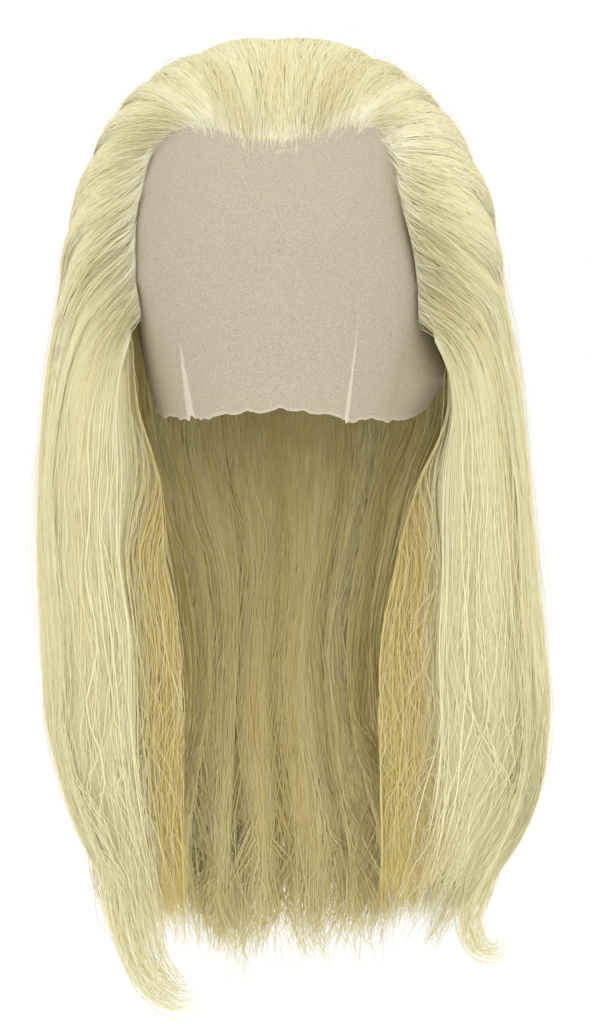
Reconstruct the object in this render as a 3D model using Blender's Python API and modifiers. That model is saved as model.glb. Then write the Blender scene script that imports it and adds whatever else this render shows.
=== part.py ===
"""A lace front wig: a sheer lace front, a stretch cap and long hair combed back in three sections.

Metres, +Z up, the face side towards -Y, the viewer's right at +X. The origin is the inside of the
cap at the crown, where the wig sits on a head.
"""

import math
from collections import namedtuple

import bmesh
import bpy
import numpy as np

# The widest level of the head, measured down from the crown, and how square its sections are.
BROW_Z = -0.100
HEAD_SQUARENESS = 2.3
HAIR_SQUARENESS = 2.12
HEAD_HEIGHT = 0.100
HAIR_HEIGHT = 0.118
# Below the widest level one unit of the flow coordinates is this long.
DROP = 0.100

# Half sizes of each level, from the middle plane to the left, right, front and back.
Level = namedtuple("Level", "z left right front back")
HEAD = (
    Level(-0.100, 0.0740, 0.0735, 0.095, 0.100),
    Level(-0.125, 0.0670, 0.0685, 0.096, 0.094),
    Level(-0.150, 0.0590, 0.0630, 0.096, 0.082),
    Level(-0.180, 0.0505, 0.0565, 0.094, 0.068),
)
HAIR_OUTSIDE = (
    Level(-0.100, 0.1080, 0.1090, 0.100, 0.126),
    Level(-0.150, 0.1145, 0.1170, 0.104, 0.129),
    Level(-0.210, 0.1180, 0.1225, 0.106, 0.129),
    Level(-0.280, 0.1165, 0.1300, 0.104, 0.126),
    Level(-0.320, 0.1145, 0.1330, 0.100, 0.122),
    Level(-0.370, 0.1030, 0.1260, 0.092, 0.114),
    Level(-0.410, 0.0860, 0.1040, 0.080, 0.100),
    Level(-0.460, 0.0720, 0.0820, 0.066, 0.082),
)
HAIR_INSIDE = (
    Level(-0.100, 0.0775, 0.0765, 0.0980, 0.1030),
    Level(-0.135, 0.0800, 0.0850, 0.0900, 0.0960),
    Level(-0.165, 0.0790, 0.0850, 0.0800, 0.0850),
    Level(-0.200, 0.0680, 0.0700, 0.0660, 0.0710),
    Level(-0.250, 0.0560, 0.0570, 0.0540, 0.0640),
    Level(-0.400, 0.0500, 0.0520, 0.0460, 0.0600),
    Level(-0.460, 0.0480, 0.0500, 0.0440, 0.0580),
)
HAIR_CLEARANCE = 0.0030

# The hairline on the head, from the left ear (share -1) over the forehead (0) to the right ear (1).
Root = namedtuple("Root", "share x z")
HAIRLINE = (
    Root(-1.00, -0.0660, -0.114),
    Root(-0.86, -0.0695, -0.088),
    Root(-0.70, -0.0672, -0.062),
    Root(-0.55, -0.0616, -0.040),
    Root(-0.44, -0.0530, -0.030),
    Root(-0.28, -0.0360, -0.0265),
    Root(-0.13, -0.0160, -0.0315),
    Root(0.00, 0.0000, -0.0335),
    Root(0.13, 0.0170, -0.0300),
    Root(0.28, 0.0350, -0.0265),
    Root(0.44, 0.0490, -0.0295),
    Root(0.55, 0.0552, -0.041),
    Root(0.70, 0.0580, -0.064),
    Root(0.86, 0.0640, -0.090),
    Root(1.00, 0.0665, -0.116),
)

# Where the hair of each root hangs: the middle at the back, the ends at the front of the curtains.
FRONT_AZIMUTH = math.radians(61)
SPREAD_POWER = 0.80

# The combing: how far and which way (aside, back, up) hair leaves its root, and where it starts to
# hang straight, in flow coordinates.
COMB_REACH = 0.36
COMB_DIRECTION = (0.35, 0.90, 0.35)
FALL_START = -0.20
FALL_BELOW_ROOT = 0.25
FALL_REACH = 0.42

# The thickness of the hair: thin at the roots, full after this length, tapered over the ends.
RISE_LENGTH = 0.017
ROOT_THICKNESS = 0.10
TIP_THICKNESS = 0.12
TIP_SIDE = 0.82
END_LENGTH = 0.11
END_POWER = 1.6
END_CROWDING = 1.5
LEAVES_HEAD_Z = -0.120
LEAVING_HEIGHT = 0.080

# The lengths of the hair at the back, the side and the front edge of the curtains.
TIP_BACK_Z = -0.440
TIP_BEHIND_EAR_Z = -0.428
TIP_SIDE_Z = -0.405
TIP_FRONT_Z = -0.385
TIP_SHARES = (0.0, 0.35, 0.70, 1.0)
NOTCH_DEPTH = 0.030

# The locks' ridges, and the round front edge of the curtains as shares of length and thickness.
VALLEY_DEPTH = 0.15
RIDGE_POWER = 0.8
EDGE_WIDTH = 0.22
EDGE_THICKNESS = 0.25
SHARP_EDGE = math.radians(50)
SECTION_EDGE = 0.34
SECTION_GAP = 0.0006
ROWS_ON_HEAD = 14
ROWS_BELOW = 8
COLUMNS_PER_LOCK = 4

# Long waves down the hair: their angle round the head and their length.
WAVE_ANGLE = math.radians(2.6)
WAVE_LENGTH = 0.17
WAVE_TURNS = 5.0

# The locks of each section in order from its left edge: relative width, and how much longer it hangs.
Lock = namedtuple("Lock", "width longer")
LOCKS = {
    "hair_left": (
        Lock(1.0, 0.004), Lock(1.3, 0.012), Lock(0.8, -0.008), Lock(1.2, 0.006), Lock(0.9, -0.004),
    ),
    "hair_back": (
        Lock(0.9, -0.010), Lock(1.2, 0.004), Lock(1.0, 0.010), Lock(1.3, -0.004), Lock(0.8, 0.008),
        Lock(1.1, -0.006),
    ),
    "hair_right": (
        Lock(1.1, -0.006), Lock(0.8, 0.006), Lock(1.3, 0.000), Lock(1.0, 0.012), Lock(0.9, -0.010),
    ),
}

# The lace and the cap.
LACE_THICKNESS = 0.0010
CAP_THICKNESS = 0.0015
SEAM_TOP_Y = 0.012
SEAM_LOW_Y = -0.014
SEAM_LOW_Z = -0.160
SEAM_GAP = 0.0003
LACE_EDGE_Z = -0.160
EAR_EDGE_Z = -0.118
NAPE_EDGE_Z = -0.165
HEAD_COLUMNS = 36
DOME_RINGS = 8
SKIRT_RINGS = 5

# Folds of the spare lace over the cheeks, and how far down each takes to reach its height.
Pleat = namedtuple("Pleat", "azimuth top_z width height")
PLEATS = (
    Pleat(math.radians(-45.5), -0.126, math.radians(2.6), 0.0016),
    Pleat(math.radians(30), -0.117, math.radians(2.0), 0.0014),
)
PLEAT_RUN = 0.012

# How far the ear tabs stand off the cheeks.
TAB_FLARE_LEFT = 0.004
TAB_FLARE_RIGHT = 0.011
TAB_TOP_Z = -0.114
TAB_DROP = 0.035
TAB_POWER = 1.5
TAB_START = math.radians(58)
TAB_END = math.radians(80)

# Free ends of hair: thick where they leave the section, thin at the tip.
Curl = namedtuple("Curl", "name section radius points")
CURLS = (
    Curl(
        "curl_left",
        "hair_left",
        0.0085,
        ((-0.084, -0.020, -0.335), (-0.083, -0.024, -0.390), (-0.075, -0.023, -0.430),
         (-0.061, -0.022, -0.447), (-0.046, -0.020, -0.453), (-0.034, -0.018, -0.448)),
    ),
    Curl(
        "wisp_left",
        "hair_left",
        0.0060,
        ((-0.086, 0.012, -0.345), (-0.089, 0.012, -0.390), (-0.084, 0.012, -0.416),
         (-0.079, 0.012, -0.431)),
    ),
    Curl(
        "curl_right",
        "hair_right",
        0.0080,
        ((0.098, -0.008, -0.335), (0.101, -0.013, -0.385), (0.093, -0.014, -0.411),
         (0.097, -0.014, -0.427), (0.107, -0.013, -0.430), (0.113, -0.012, -0.422)),
    ),
    Curl(
        "wisp_right",
        "hair_right",
        0.0060,
        ((0.084, 0.027, -0.350), (0.087, 0.026, -0.398), (0.079, 0.024, -0.425),
         (0.072, 0.022, -0.437)),
    ),
    Curl(
        "tip_middle",
        "hair_back",
        0.0080,
        ((0.013, 0.086, -0.360), (0.014, 0.082, -0.410), (0.016, 0.078, -0.440),
         (0.021, 0.074, -0.455)),
    ),
    Curl(
        "tip_side",
        "hair_back",
        0.0070,
        ((-0.031, 0.080, -0.360), (-0.029, 0.077, -0.408), (-0.022, 0.074, -0.436),
         (-0.012, 0.071, -0.448)),
    ),
)
CURL_TIP = 0.16
CURL_TAPER = 1.3
CURL_STEPS = 3
WELD = 0.00005

# Colour and roughness of each material.
HAIR_FINISH = ((0.76, 0.69, 0.40), 0.45)
LACE_FINISH = ((0.62, 0.53, 0.40), 0.85)
CAP_FINISH = ((0.55, 0.44, 0.30), 0.90)


def smooth_table(at, levels, values):
    """A smooth curve through the values of a table, with its levels in rising order."""
    levels = np.asarray(levels)
    values = np.asarray(values)
    slopes = np.gradient(values, levels)
    at = np.clip(at, levels[0], levels[-1])
    row = np.clip(np.searchsorted(levels, at) - 1, 0, len(levels) - 2)
    width = levels[row + 1] - levels[row]
    u = (at - levels[row]) / width
    start = (1 + 2 * u) * (1 - u) ** 2 * values[row] + u * (1 - u) ** 2 * width * slopes[row]
    end = u * u * (3 - 2 * u) * values[row + 1] - u * u * (1 - u) * width * slopes[row + 1]
    return start + end


def half_sizes(shape, z):
    """Left, right, front and back half sizes at these heights."""
    levels = [level.z for level in reversed(shape)]
    columns = ("left", "right", "front", "back")
    return [smooth_table(z, levels, [getattr(row, c) for row in reversed(shape)]) for c in columns]


def on_form(points):
    """Moves points to the flow form: a unit half sphere that stands on a unit cylinder."""
    high = np.maximum(points[..., 2], 0.0)
    length = np.sqrt(points[..., 0] ** 2 + points[..., 1] ** 2 + high**2)
    across = points[..., :2] / length[..., None]
    return np.concatenate([across, np.minimum(points[..., 2:], high[..., None] / length[..., None])], -1)


def place(shape, height, squareness, form):
    """Real positions of flow form points on a shape."""
    high = np.maximum(form[..., 2], 0.0)
    size = (
        np.abs(form[..., 0]) ** squareness + np.abs(form[..., 1]) ** squareness + high**squareness
    ) ** (1 / squareness)
    z = BROW_Z + np.where(form[..., 2] > 0, height * high / size, DROP * form[..., 2])
    left, right, front, back = half_sizes(shape, np.minimum(z, BROW_Z))
    x = np.where(form[..., 0] < 0, left, right) * form[..., 0] / size
    y = np.where(form[..., 1] < 0, front, back) * form[..., 1] / size
    return np.stack([x, y, z], -1)


def hairline_form(shares):
    """Flow form points of the hairline at these shares of its length."""
    table = [row.share for row in HAIRLINE]
    x = smooth_table(shares, table, [row.x for row in HAIRLINE])
    z = smooth_table(shares, table, [row.z for row in HAIRLINE])
    left, right, _, _ = half_sizes(HEAD, np.minimum(z, BROW_Z))
    aside = x / np.where(x < 0, left, right)
    high = np.maximum(z - BROW_Z, 0) / HEAD_HEIGHT
    rest = 1 - np.abs(aside) ** HEAD_SQUARENESS - high**HEAD_SQUARENESS
    ahead = np.maximum(rest, 0.0) ** (1 / HEAD_SQUARENESS)
    low = np.minimum(z - BROW_Z, 0) / DROP
    return on_form(np.stack([aside, -ahead, high + low], -1))


def hang_azimuth(shares):
    """The side to which the hair of each root falls, from the face (0) round to the back (pi)."""
    turned = math.pi - (math.pi - FRONT_AZIMUTH) * np.abs(shares) ** SPREAD_POWER
    return np.where(np.asarray(shares) < 0, -turned, turned)


def flow_lines(shares, tips_z):
    """Flow form points of the hair, from the roots at these shares down to the tips."""
    roots = hairline_form(shares)
    azimuth = hang_azimuth(shares)
    fall_z = np.minimum(FALL_START, roots[:, 2] - FALL_BELOW_ROOT)
    falls = np.stack([np.sin(azimuth), -np.cos(azimuth), fall_z], -1)
    reach = np.linalg.norm(falls - roots, axis=1)[:, None]
    aside, back, up = COMB_DIRECTION
    away = np.stack([aside * roots[:, 0], np.full(len(roots), back), np.full(len(roots), up)], -1)
    away -= roots * np.sum(away * roots, axis=1)[:, None]
    away /= np.linalg.norm(away, axis=1)[:, None]
    leaving = roots + COMB_REACH * reach * away
    arriving = falls + np.array([0.0, 0.0, FALL_REACH]) * reach
    u = np.linspace(0, 1, ROWS_ON_HEAD)[None, :, None]
    curve = (
        (1 - u) ** 3 * roots[:, None]
        + 3 * u * (1 - u) ** 2 * leaving[:, None]
        + 3 * u * u * (1 - u) * arriving[:, None]
        + u**3 * falls[:, None]
    )
    down = (1 - (1 - np.linspace(0, 1, ROWS_BELOW + 1)[1:]) ** END_CROWDING)[None, :]
    ends = (tips_z - BROW_Z) / DROP
    below = np.repeat(falls[:, None], ROWS_BELOW, axis=1)
    below[..., 2] = fall_z[:, None] + (ends - fall_z)[:, None] * down
    lines = np.concatenate([on_form(curve), below], axis=1)
    depth = np.clip(-lines[..., 2] * DROP / WAVE_LENGTH, 0, None)
    turn = WAVE_ANGLE * np.minimum(depth, 1) * np.sin(math.tau * depth + WAVE_TURNS * shares[:, None])
    x = lines[..., 0] * np.cos(turn) - lines[..., 1] * np.sin(turn)
    y = lines[..., 0] * np.sin(turn) + lines[..., 1] * np.cos(turn)
    return np.stack([x, y, lines[..., 2]], -1)


def tip_heights(shares, lock_shape, longer):
    """Heights of the hair's ends: long at the back, short in front, notched between the locks."""
    ends = (TIP_BACK_Z, TIP_BEHIND_EAR_Z, TIP_SIDE_Z, TIP_FRONT_Z)
    heights = smooth_table(np.abs(shares), TIP_SHARES, ends)
    return heights + NOTCH_DEPTH * (1 - lock_shape) - longer * lock_shape


def new_object(name, mesh, finish, collection):
    """A mesh object with its own material."""
    colour, roughness = finish
    obj = bpy.data.objects.new(name, mesh)
    material = bpy.data.materials.new(name)
    material.use_nodes = True
    shader = material.node_tree.nodes["Principled BSDF"]
    shader.inputs["Base Color"].default_value = (*colour, 1.0)
    shader.inputs["Roughness"].default_value = roughness
    shader.inputs["Metallic"].default_value = 0.0
    mesh.materials.append(material)
    collection.objects.link(obj)
    return obj


def wall_mesh(name, outside, inside):
    """A closed wall between two point grids of the same size."""
    columns, rows = outside.shape[:2]
    mesh_data = bmesh.new()
    outer = [[mesh_data.verts.new(point) for point in column] for column in outside.tolist()]
    inner = [[mesh_data.verts.new(point) for point in column] for column in inside.tolist()]
    for j in range(columns - 1):
        for i in range(rows - 1):
            mesh_data.faces.new((outer[j][i], outer[j][i + 1], outer[j + 1][i + 1], outer[j + 1][i]))
            mesh_data.faces.new((inner[j][i], inner[j + 1][i], inner[j + 1][i + 1], inner[j][i + 1]))
        for i in (0, rows - 1):
            mesh_data.faces.new((outer[j][i], outer[j + 1][i], inner[j + 1][i], inner[j][i]))
    for j in (0, columns - 1):
        for i in range(rows - 1):
            mesh_data.faces.new((outer[j][i], inner[j][i], inner[j][i + 1], outer[j][i + 1]))
    bmesh.ops.recalc_face_normals(mesh_data, faces=mesh_data.faces)
    mesh = bpy.data.meshes.new(name)
    mesh_data.to_mesh(mesh)
    mesh_data.free()
    mesh.shade_smooth()
    mesh.set_sharp_from_angle(angle=SHARP_EDGE)
    return mesh


def hair_section(name, first, last, collection):
    """One section of hair between two shares of the hairline, with a ridge for each lock."""
    locks = LOCKS[name]
    edges = np.cumsum([0.0] + [lock.width for lock in locks])
    steps = np.arange(COLUMNS_PER_LOCK * len(locks) + 1) / COLUMNS_PER_LOCK
    shares = first + (last - first) * np.interp(steps, np.arange(len(edges)), edges / edges[-1])
    lock_shape = np.sin(math.pi * (steps % 1.0)) ** RIDGE_POWER
    longer = np.array([locks[min(int(step), len(locks) - 1)].longer for step in steps])
    lines = flow_lines(shares, tip_heights(shares, lock_shape, longer))
    rows = lines.shape[1]
    outer = place(HAIR_OUTSIDE, HAIR_HEIGHT, HAIR_SQUARENESS, lines)
    inner = place(HAIR_INSIDE, HEAD_HEIGHT + HAIR_CLEARANCE, HEAD_SQUARENESS, lines)
    run = np.cumsum(np.linalg.norm(np.diff(outer, axis=1, prepend=outer[:, :1]), axis=2), axis=1)
    full = 1 - (1 - ROOT_THICKNESS) * np.exp(-run / RISE_LENGTH)
    valleys = 1 - VALLEY_DEPTH * full * (1 - lock_shape[:, None])
    from_edge = np.clip((1 - np.abs(shares)) / EDGE_WIDTH, 0, 1)[:, None]
    rounded = EDGE_THICKNESS + (1 - EDGE_THICKNESS) * np.sqrt(1 - (1 - from_edge) ** 2)
    below = np.clip((run - run[:, -1:] + END_LENGTH) / END_LENGTH, 0, 1)
    ends = 1 - (1 - TIP_THICKNESS) * below**END_POWER
    thick = full * valleys * rounded * ends
    lower = np.clip((LEAVES_HEAD_Z - outer[..., 2]) / LEAVING_HEIGHT, 0, 1)
    start = lower * (1 - thick) * TIP_SIDE
    outside = inner + (outer - inner) * (start + thick)[..., None]
    inside = inner + (outer - inner) * start[..., None]
    for edge, neighbour, share in ((0, 1, first), (-1, -2, last)):
        if abs(share) < 1:
            for wall in (outside, inside):
                step = wall[neighbour] - wall[edge]
                wall[edge] += SECTION_GAP * step / np.linalg.norm(step, axis=1)[:, None]
    return new_object(name, wall_mesh(name, outside, inside), HAIR_FINISH, collection)


def curl_cutter(curl, collection):
    """A tapered tube through the curl's points, as a closed mesh to be joined to its section."""
    steps = np.arange(len(curl.points))
    fine = np.linspace(0, len(steps) - 1, CURL_STEPS * (len(steps) - 1) + 1)
    points = [smooth_table(fine, steps, column) for column in zip(*curl.points)]
    line = bpy.data.curves.new(curl.name, "CURVE")
    line.dimensions = "3D"
    line.bevel_depth = curl.radius
    line.bevel_resolution = 1
    line.use_fill_caps = True
    spline = line.splines.new("POLY")
    spline.points.add(len(fine) - 1)
    for point, x, y, z, share in zip(spline.points, *points, fine / fine[-1]):
        point.co = (x, y, z, 1.0)
        point.radius = 1 - (1 - CURL_TIP) * share**CURL_TAPER
    guide = bpy.data.objects.new(curl.name, line)
    collection.objects.link(guide)
    graph = bpy.context.evaluated_depsgraph_get()
    mesh = bpy.data.meshes.new_from_object(guide.evaluated_get(graph))
    closed = bmesh.new()
    closed.from_mesh(mesh)
    bmesh.ops.remove_doubles(closed, verts=closed.verts, dist=WELD)
    bmesh.ops.recalc_face_normals(closed, faces=closed.faces)
    closed.to_mesh(mesh)
    closed.free()
    bpy.data.objects.remove(guide)
    cutter = bpy.data.objects.new(curl.name, mesh)
    cutter.hide_render = True
    cutter.display_type = "WIRE"
    collection.objects.link(cutter)
    return cutter


def add_curls(section, cutters):
    """Joins the free ends of a section to it."""
    for curl in CURLS:
        if curl.section == section.name:
            joint = section.modifiers.new(curl.name, "BOOLEAN")
            joint.operation = "UNION"
            joint.solver = "EXACT"
            joint.object = curl_cutter(curl, cutters)


def lower_edge(azimuth):
    """Height of the lower edge: straight over the face, cut up behind the tabs, low at the nape."""
    turned = abs(azimuth)
    stations = [math.radians(angle) for angle in (0, 60, 76, 88, 104, 140, 180)]
    heights = [LACE_EDGE_Z, LACE_EDGE_Z - 0.004, -0.158, -0.139, EAR_EDGE_Z, -0.150, NAPE_EDGE_Z]
    return float(np.interp(turned, stations, heights))


def stand_off(azimuth, z):
    """How far a point of the lace stands off the head, at the tabs and at the pleats."""
    side = TAB_FLARE_LEFT if azimuth < 0 else TAB_FLARE_RIGHT
    across = np.clip((abs(azimuth) - TAB_START) / (TAB_END - TAB_START), 0, 1)
    down = np.clip((TAB_TOP_Z - z) / TAB_DROP, 0, 1)
    off = side * across**TAB_POWER * down
    for pleat in PLEATS:
        near = max(0.0, 1 - abs(azimuth - pleat.azimuth) / (pleat.width / 2))
        low = np.clip((pleat.top_z - z) / PLEAT_RUN, 0, 1)
        off += pleat.height * near * low
    return off


def head_shell(name, keep_front, thickness, finish, collection):
    """The head's surface in front of the seam or behind it, as a thin wall."""
    azimuths = [math.tau * k / HEAD_COLUMNS - math.pi for k in range(HEAD_COLUMNS)]
    if keep_front:
        for pleat in PLEATS:
            azimuths += [pleat.azimuth + k * pleat.width / 2 for k in (-1, 0, 1)]
    azimuths.sort()
    shell = bmesh.new()
    top = shell.verts.new((0, 0, BROW_Z + HEAD_HEIGHT))
    columns = []
    for azimuth in azimuths:
        column = []
        for ring in range(1, DOME_RINGS + SKIRT_RINGS + 1):
            if ring <= DOME_RINGS:
                rise = math.pi / 2 * (1 - ring / DOME_RINGS)
                out = math.cos(rise)
                form = [out * math.sin(azimuth), -out * math.cos(azimuth), math.sin(rise)]
            else:
                down = (lower_edge(azimuth) - BROW_Z) * (ring - DOME_RINGS) / SKIRT_RINGS
                form = [math.sin(azimuth), -math.cos(azimuth), down / DROP]
            point = place(HEAD, HEAD_HEIGHT, HEAD_SQUARENESS, np.array(form))
            if keep_front:
                out = np.array([math.sin(azimuth), -math.cos(azimuth), 0.0])
                point = point + out * stand_off(azimuth, point[2])
            column.append(shell.verts.new(point))
        columns.append(column)
    for here, there in zip(columns, columns[1:] + columns[:1]):
        shell.faces.new((top, here[0], there[0]))
        for a, b, c, d in zip(here, here[1:], there[1:], there):
            shell.faces.new((a, b, c, d))
    slope = (SEAM_TOP_Y - SEAM_LOW_Y) / -SEAM_LOW_Z
    normal = np.array([0.0, 1.0, -slope])
    normal /= np.linalg.norm(normal)
    side = -1 if keep_front else 1
    bmesh.ops.bisect_plane(
        shell,
        geom=shell.verts[:] + shell.edges[:] + shell.faces[:],
        plane_co=np.array([0.0, SEAM_TOP_Y, 0.0]) + side * normal * SEAM_GAP / 2,
        plane_no=normal,
        clear_inner=not keep_front,
        clear_outer=keep_front,
    )
    bmesh.ops.recalc_face_normals(shell, faces=shell.faces)
    mesh = bpy.data.meshes.new(name)
    shell.to_mesh(mesh)
    shell.free()
    mesh.shade_smooth()
    obj = new_object(name, mesh, finish, collection)
    wall = obj.modifiers.new("thickness", "SOLIDIFY")
    wall.thickness = thickness
    wall.offset = 1.0
    wall.use_even_offset = True
    return obj


def main():
    for obj in list(bpy.data.objects):
        bpy.data.objects.remove(obj)
    parts = bpy.data.collections.new("lace_front_wig")
    cutters = bpy.data.collections.new("cutters")
    for collection in (parts, cutters):
        bpy.context.scene.collection.children.link(collection)
    head_shell("lace_front", True, LACE_THICKNESS, LACE_FINISH, parts)
    head_shell("wig_cap", False, CAP_THICKNESS, CAP_FINISH, parts)
    for name, first, last in (
        ("hair_left", -1.0, -SECTION_EDGE),
        ("hair_back", -SECTION_EDGE, SECTION_EDGE),
        ("hair_right", SECTION_EDGE, 1.0),
    ):
        add_curls(hair_section(name, first, last, parts), cutters)
    cutters.hide_render = True


main()
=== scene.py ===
"""The looks of a lace front wig: a sheer lace front, a stretch cap and long blonde hair combed back.

Metres, +Z up, the face side towards -Y, the viewer's right at +X. The hair follows the flow of the
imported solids: from the hairline over the head, then hanging all round except in front.
"""

import math
from collections import namedtuple

import bmesh
import bpy
import numpy as np
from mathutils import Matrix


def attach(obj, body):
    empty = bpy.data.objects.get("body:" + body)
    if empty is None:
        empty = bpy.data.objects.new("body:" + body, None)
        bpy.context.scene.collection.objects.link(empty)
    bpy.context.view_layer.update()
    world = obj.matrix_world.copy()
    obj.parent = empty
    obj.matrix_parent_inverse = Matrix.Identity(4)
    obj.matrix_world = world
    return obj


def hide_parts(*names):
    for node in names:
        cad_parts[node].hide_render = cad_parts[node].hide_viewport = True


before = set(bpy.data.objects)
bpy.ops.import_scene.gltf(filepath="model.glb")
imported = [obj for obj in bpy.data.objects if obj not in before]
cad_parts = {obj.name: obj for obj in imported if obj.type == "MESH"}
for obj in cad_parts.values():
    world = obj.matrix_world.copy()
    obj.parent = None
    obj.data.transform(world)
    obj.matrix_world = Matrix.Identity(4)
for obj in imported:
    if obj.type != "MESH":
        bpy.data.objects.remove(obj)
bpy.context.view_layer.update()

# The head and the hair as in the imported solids.
BROW_Z = -0.100
HEAD_SQUARENESS = 2.3
HAIR_SQUARENESS = 2.12
HEAD_HEIGHT = 0.100
HAIR_HEIGHT = 0.118
DROP = 0.100
HAIR_CLEARANCE = 0.0030

# Half sizes of each level, from the middle plane to the left, right, front and back.
Level = namedtuple("Level", "z left right front back")
HEAD = (
    Level(-0.100, 0.0740, 0.0735, 0.095, 0.100),
    Level(-0.125, 0.0670, 0.0685, 0.096, 0.094),
    Level(-0.150, 0.0590, 0.0630, 0.096, 0.082),
    Level(-0.180, 0.0505, 0.0565, 0.094, 0.068),
)
HAIR_OUTSIDE = (
    Level(-0.100, 0.1080, 0.1090, 0.100, 0.126),
    Level(-0.150, 0.1145, 0.1170, 0.104, 0.129),
    Level(-0.210, 0.1180, 0.1225, 0.106, 0.129),
    Level(-0.280, 0.1165, 0.1300, 0.104, 0.126),
    Level(-0.320, 0.1145, 0.1330, 0.100, 0.122),
    Level(-0.370, 0.1030, 0.1260, 0.092, 0.114),
    Level(-0.410, 0.0860, 0.1040, 0.080, 0.100),
    Level(-0.460, 0.0720, 0.0820, 0.066, 0.082),
)
HAIR_INSIDE = (
    Level(-0.100, 0.0775, 0.0765, 0.0980, 0.1030),
    Level(-0.135, 0.0800, 0.0850, 0.0900, 0.0960),
    Level(-0.165, 0.0790, 0.0850, 0.0800, 0.0850),
    Level(-0.200, 0.0680, 0.0700, 0.0660, 0.0710),
    Level(-0.250, 0.0560, 0.0570, 0.0540, 0.0640),
    Level(-0.400, 0.0500, 0.0520, 0.0460, 0.0600),
    Level(-0.460, 0.0480, 0.0500, 0.0440, 0.0580),
)

# The hairline on the head, from the left ear (share -1) over the forehead (0) to the right ear (1).
Root = namedtuple("Root", "share x z")
HAIRLINE = (
    Root(-1.00, -0.0660, -0.114),
    Root(-0.86, -0.0695, -0.088),
    Root(-0.70, -0.0672, -0.062),
    Root(-0.55, -0.0616, -0.040),
    Root(-0.44, -0.0530, -0.030),
    Root(-0.28, -0.0360, -0.0265),
    Root(-0.13, -0.0160, -0.0315),
    Root(0.00, 0.0000, -0.0335),
    Root(0.13, 0.0170, -0.0300),
    Root(0.28, 0.0350, -0.0265),
    Root(0.44, 0.0490, -0.0295),
    Root(0.55, 0.0552, -0.041),
    Root(0.70, 0.0580, -0.064),
    Root(0.86, 0.0640, -0.090),
    Root(1.00, 0.0665, -0.116),
)

# Combing, fall, thickness and ends of the hair.
FRONT_AZIMUTH = math.radians(61)
SPREAD_POWER = 0.80
COMB_REACH = 0.36
COMB_ASIDE = 0.35
COMB_BACK = 0.90
# How far up the hair is combed at these shares of the hairline: up over the forehead, down at the ears.
COMB_SHARES = (0.0, 0.30, 0.48, 0.60, 0.75, 1.0)
COMB_UP = (0.40, 0.30, -0.25, -1.00, -2.00, -2.80)
FALL_START = -0.20
FALL_BELOW_ROOT = 0.25
FALL_REACH = 0.42
RISE_LENGTH = 0.017
ROOT_THICKNESS = 0.10
TIP_THICKNESS = 0.12
TIP_SIDE = 0.82
END_LENGTH = 0.11
END_POWER = 1.6
END_CROWDING = 1.5
LEAVES_HEAD_Z = -0.120
LEAVING_HEIGHT = 0.080
TIP_BACK_Z = -0.440
TIP_BEHIND_EAR_Z = -0.428
TIP_SIDE_Z = -0.405
TIP_FRONT_Z = -0.385
TIP_SHARES = (0.0, 0.35, 0.70, 1.0)
NOTCH_DEPTH = 0.030
VALLEY_DEPTH = 0.15
RIDGE_POWER = 0.8
EDGE_WIDTH = 0.22
EDGE_THICKNESS = 0.25
SECTION_EDGE = 0.34
WAVE_ANGLE = math.radians(2.6)
WAVE_LENGTH = 0.17
WAVE_TURNS = 5.0

# The locks of each section in order from its left edge: relative width, and how much longer it hangs.
Lock = namedtuple("Lock", "width longer")
Section = namedtuple("Section", "node first last locks")
SECTIONS = (
    Section("hair_left", -1.0, -SECTION_EDGE, (
        Lock(1.0, 0.004), Lock(1.3, 0.012), Lock(0.8, -0.008), Lock(1.2, 0.006), Lock(0.9, -0.004),
    )),
    Section("hair_back", -SECTION_EDGE, SECTION_EDGE, (
        Lock(0.9, -0.010), Lock(1.2, 0.004), Lock(1.0, 0.010), Lock(1.3, -0.004), Lock(0.8, 0.008),
        Lock(1.1, -0.006),
    )),
    Section("hair_right", SECTION_EDGE, 1.0, (
        Lock(1.1, -0.006), Lock(0.8, 0.006), Lock(1.3, 0.000), Lock(1.0, 0.012), Lock(0.9, -0.010),
    )),
)

# Free ends of hair that leave the sections.
Curl = namedtuple("Curl", "section count radius tone points")
CURLS = (
    Curl("hair_left", 300, 0.0125, 0.12,
         ((-0.078, -0.016, -0.325), (-0.076, -0.022, -0.375), (-0.071, -0.023, -0.415),
          (-0.062, -0.022, -0.440), (-0.049, -0.020, -0.451), (-0.038, -0.018, -0.448))),
    Curl("hair_left", 70, 0.0060, 0.15,
         ((-0.086, 0.012, -0.345), (-0.089, 0.012, -0.390), (-0.084, 0.012, -0.416),
          (-0.079, 0.012, -0.431))),
    Curl("hair_right", 120, 0.0075, 0.12,
         ((0.098, -0.008, -0.335), (0.101, -0.013, -0.385), (0.093, -0.014, -0.411),
          (0.097, -0.014, -0.427), (0.107, -0.013, -0.430), (0.113, -0.012, -0.422))),
    Curl("hair_right", 70, 0.0065, 0.20,
         ((0.084, 0.027, -0.350), (0.087, 0.026, -0.398), (0.079, 0.024, -0.425),
          (0.072, 0.022, -0.437))),
    Curl("hair_back", 110, 0.0100, 0.32,
         ((0.013, 0.086, -0.360), (0.014, 0.082, -0.410), (0.016, 0.078, -0.440),
          (0.021, 0.074, -0.455))),
    Curl("hair_back", 110, 0.0100, 0.32,
         ((-0.031, 0.080, -0.360), (-0.029, 0.077, -0.408), (-0.022, 0.074, -0.436),
          (-0.012, 0.071, -0.448))),
)
# The radius left at a curl's tip and how it narrows, and the frizz and width of its strands.
CURL_TIP = 0.42
CURL_TAPER = 1.3
CURL_FRIZZ = 0.0048
CURL_WIDTH = 0.00028

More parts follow.
